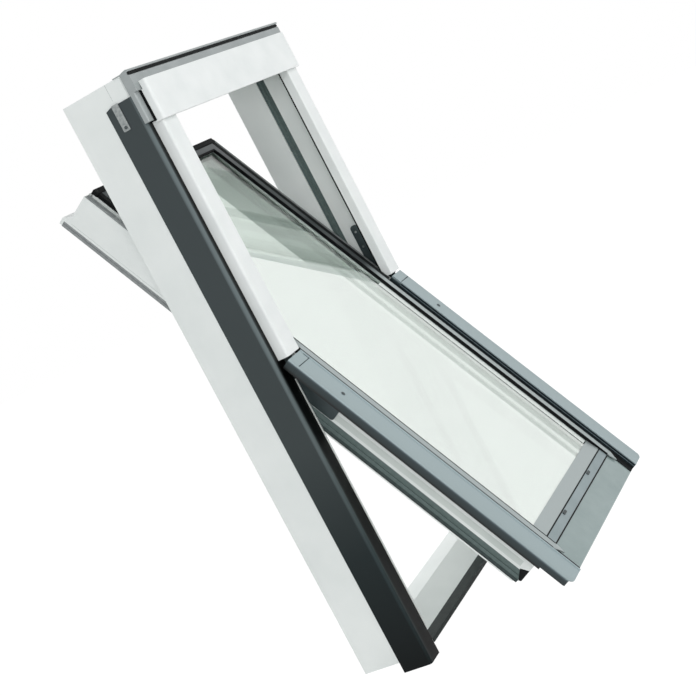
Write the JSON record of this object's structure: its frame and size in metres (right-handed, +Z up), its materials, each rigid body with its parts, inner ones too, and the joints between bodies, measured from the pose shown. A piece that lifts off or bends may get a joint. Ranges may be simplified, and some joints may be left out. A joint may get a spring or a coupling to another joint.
{
  "type": "roof window",
  "caption": "Centre-pivot roof window in a mitred white frame with grey and anthracite metal covers, double glazing, arc hinges and a handle bar with latch",
  "frame": {"origin": "midway between the two fixing holes under the sill, on the underside of the frame", "axes": "X runs across the window, Z up the slope of the roof, and -Y points out of the roof"},
  "size_m": [0.6692, 0.6231, 1.2055],
  "materials": {
    "anthracite": "anthracite powder coat",
    "black_rubber": "matte black",
    "dark_steel": "dark coated steel",
    "glass": "clear",
    "grey_aluminium": "light grey powder coat",
    "grey_seal": "matte grey",
    "handle_white": "white",
    "silver_bead": "satin",
    "spacer": "satin",
    "steel": "zinc plated",
    "white_cover": "white powder coat",
    "white_pvc": "white satin PVC"
  },
  "bodies": {
    "frame": {"bracket_screws": "steel", "cladding_bracket_left": "steel", "cladding_bracket_right": "steel", "flashing_end_left": "grey_aluminium", "flashing_end_right": "grey_aluminium", "flashing_seal": "black_rubber", "frame_hinge_left": "dark_steel", "frame_hinge_right": "dark_steel", "frame_hinge_screws": "steel", "head": "white_pvc", "head_cover": "white_cover", "head_flashing": "grey_aluminium", "jamb_seal_left": "black_rubber", "jamb_seal_right": "black_rubber", "left_cladding": "anthracite", "left_jamb": "white_pvc", "right_cladding": "anthracite", "right_jamb": "white_pvc", "sill": "white_pvc", "sill_strip": "anthracite", "striker_plate": "steel", "upper_cover_left": "white_cover", "upper_cover_right": "white_cover"},
    "sash": {"bead_bottom": "silver_bead", "bead_left": "silver_bead", "bead_right": "silver_bead", "bead_top": "silver_bead", "bottom_apron": "grey_aluminium", "bottom_rail": "white_pvc", "cap_seal_left": "black_rubber", "cap_seal_right": "black_rubber", "clamp_strip": "grey_aluminium", "cover_end_left": "grey_aluminium", "cover_end_right": "grey_aluminium", "cover_rests": "steel", "cover_screws": "steel", "edge_seal": "black_rubber", "glazing_seal": "black_rubber", "handle_brackets": "steel", "high_seal_left": "grey_seal", "high_seal_right": "grey_seal", "inner_pane": "glass", "left_stile": "white_pvc", "low_seal_left": "black_rubber", "low_seal_right": "black_rubber", "lower_cover_left": "grey_aluminium", "lower_cover_right": "grey_aluminium", "outer_pane": "glass", "right_stile": "white_pvc", "sash_hinge_left": "dark_steel", "sash_hinge_right": "dark_steel", "spacer_bar": "spacer", "strip_clips": "steel", "top_rail": "white_pvc", "weather_rib": "black_rubber"},
    "handle": {"handle_bar": "handle_white"},
    "latch": {"latch_bolt": "steel"}
  },
  "joints": [
    {"name": "sash_pivot", "type": "hinge", "parent": "frame", "child": "sash", "pos_m": [0, -0.1204, 0.594], "axis": [-1, 0, 0], "range_deg": [-27.36, 132.6]},
    {"name": "handle_pivot", "type": "hinge", "parent": "sash", "child": "handle", "pos_m": [0, 0.19298, 0.9768], "axis": [1, 0, 0], "range_deg": [0, 35]},
    {"name": "latch_slide", "type": "slide", "parent": "sash", "child": "latch", "axis": [0, -0.4596, -0.8881], "range_m": [0, 0.013]}
  ],
  "couplings": [
    {"joint": "latch_slide", "follows": "handle_pivot", "m_per_rad": 0.020954}
  ]
}
